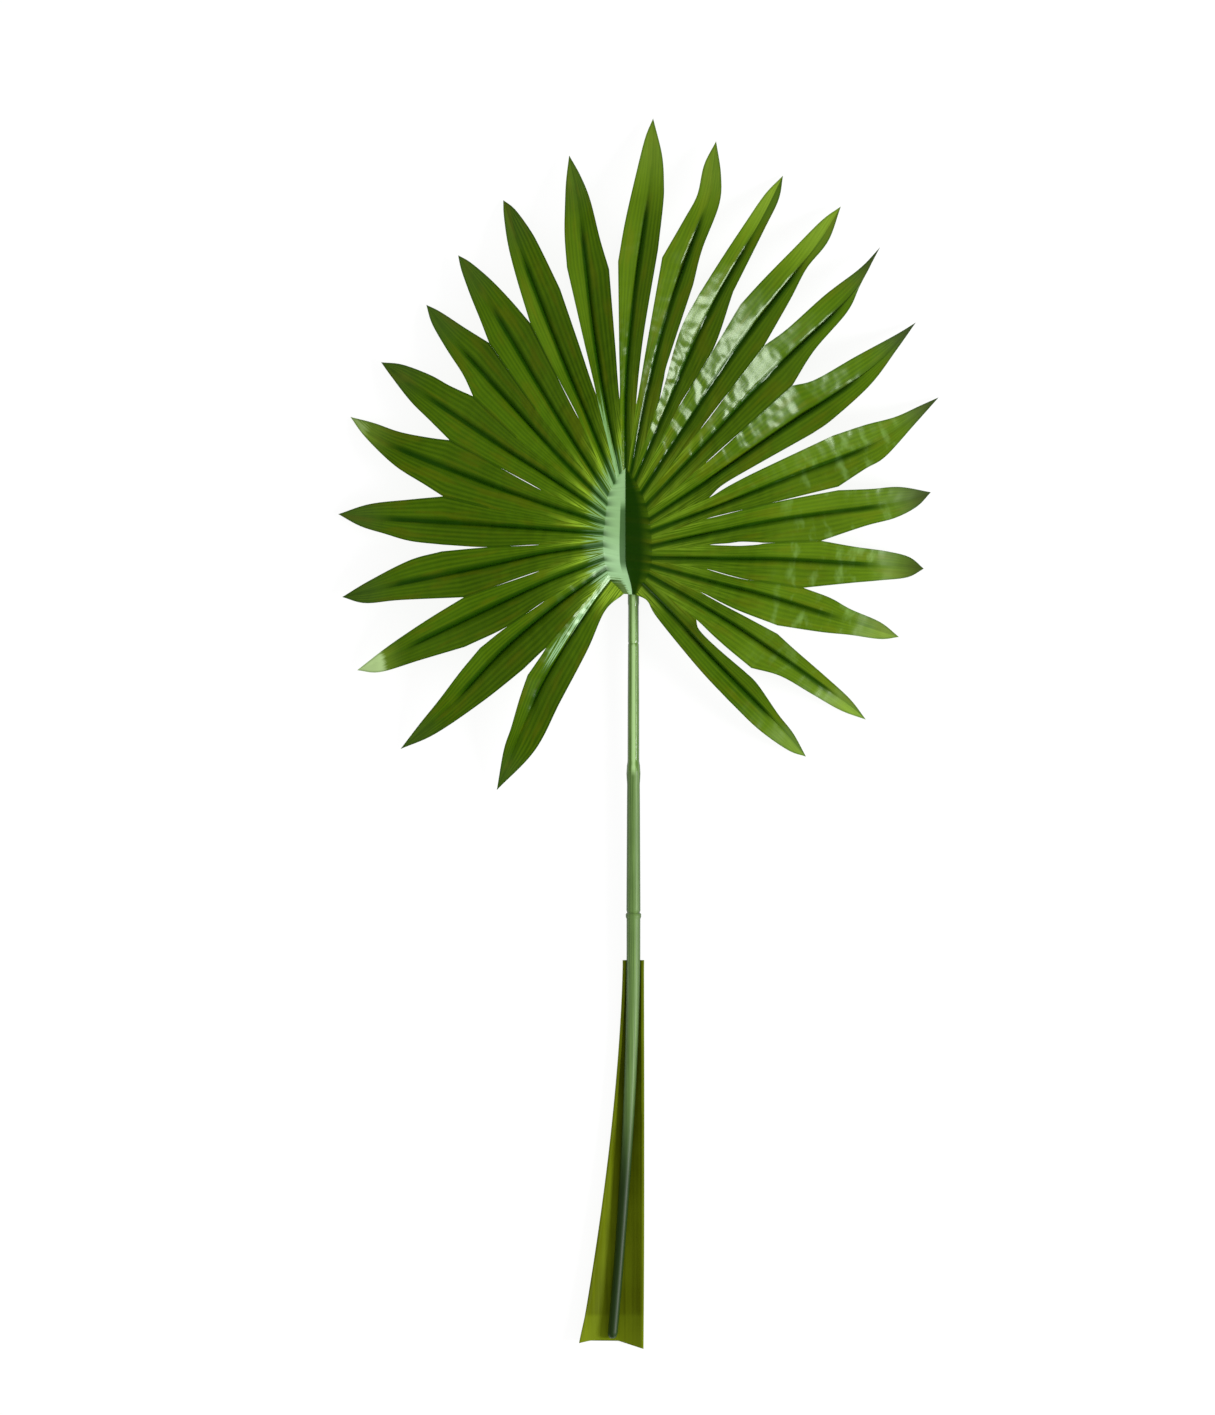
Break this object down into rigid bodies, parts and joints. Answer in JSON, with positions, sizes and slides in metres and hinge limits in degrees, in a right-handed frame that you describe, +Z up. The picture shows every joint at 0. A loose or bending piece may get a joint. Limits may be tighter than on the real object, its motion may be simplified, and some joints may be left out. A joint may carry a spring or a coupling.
{
  "type": "fan palm leaf",
  "caption": "Cut fan palm leaf lying top side up: pleated glossy green blade, ringed pale stalk and a flared sheath at its foot.",
  "frame": {"origin": "on the surface that the leaf lies on, under the middle of its box", "axes": "+Z up, out of the top side of the blade; +Y from the foot of the stalk to the tip of the longest segment; +X to the right, seen from above with the stalk towards the viewer"},
  "size_m": [0.2224, 0.4556, 0.0203],
  "materials": {
    "blade": "glossy olive to yellow green, finely veined along each segment, darker in the folds",
    "stalk": "glossy pale grey green with fine ridges along it, dark green inside the sheath",
    "sheath": "satin yellow green, lighter towards its cut edge"
  },
  "bodies": {
    "root": {"blade": "blade", "stalk": "stalk", "sheath": "sheath"}
  },
  "joints": []
}
